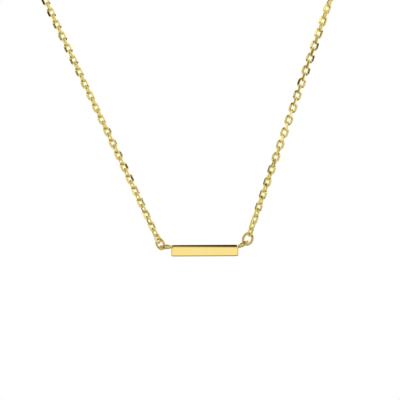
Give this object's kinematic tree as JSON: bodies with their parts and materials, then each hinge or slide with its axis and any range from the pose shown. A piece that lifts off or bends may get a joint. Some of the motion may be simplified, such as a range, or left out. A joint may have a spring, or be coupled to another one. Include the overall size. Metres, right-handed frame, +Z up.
{
  "type": "bar pendant",
  "caption": "Polished square bar pendant with an eye soldered to each end, hung by jump rings from a diamond-cut cable chain that forms a whole necklace with a clasp at the nape.",
  "frame": {"origin": "on the middle of the chain at the nape, where the necklace rests on the neck", "axes": "+X along the bar to the viewer's right, +Y from the chest back to the nape, +Z up"},
  "size_m": [0.089, 0.0818, 0.1225],
  "materials": {
    "bar_gold": "mirror-polished yellow gold",
    "ring_gold": "polished yellow gold wire",
    "chain_gold": "polished yellow gold with flat diamond-cut facets"
  },
  "bodies": {
    "necklace": {"jump_ring_left": "ring_gold", "jump_ring_right": "ring_gold", "chain_left": "chain_gold", "chain_right": "chain_gold", "chain_left_back": "chain_gold", "chain_right_back": "chain_gold", "clasp": "ring_gold", "end_ring": "ring_gold"},
    "bar": {"bar": "bar_gold"}
  },
  "joints": [
    {"name": "bar_swing", "type": "hinge", "parent": "necklace", "child": "bar", "pos_m": [0, -0.07926, -0.11765], "axis": [1, 0, 0], "range_deg": [-25, 20]}
  ]
}
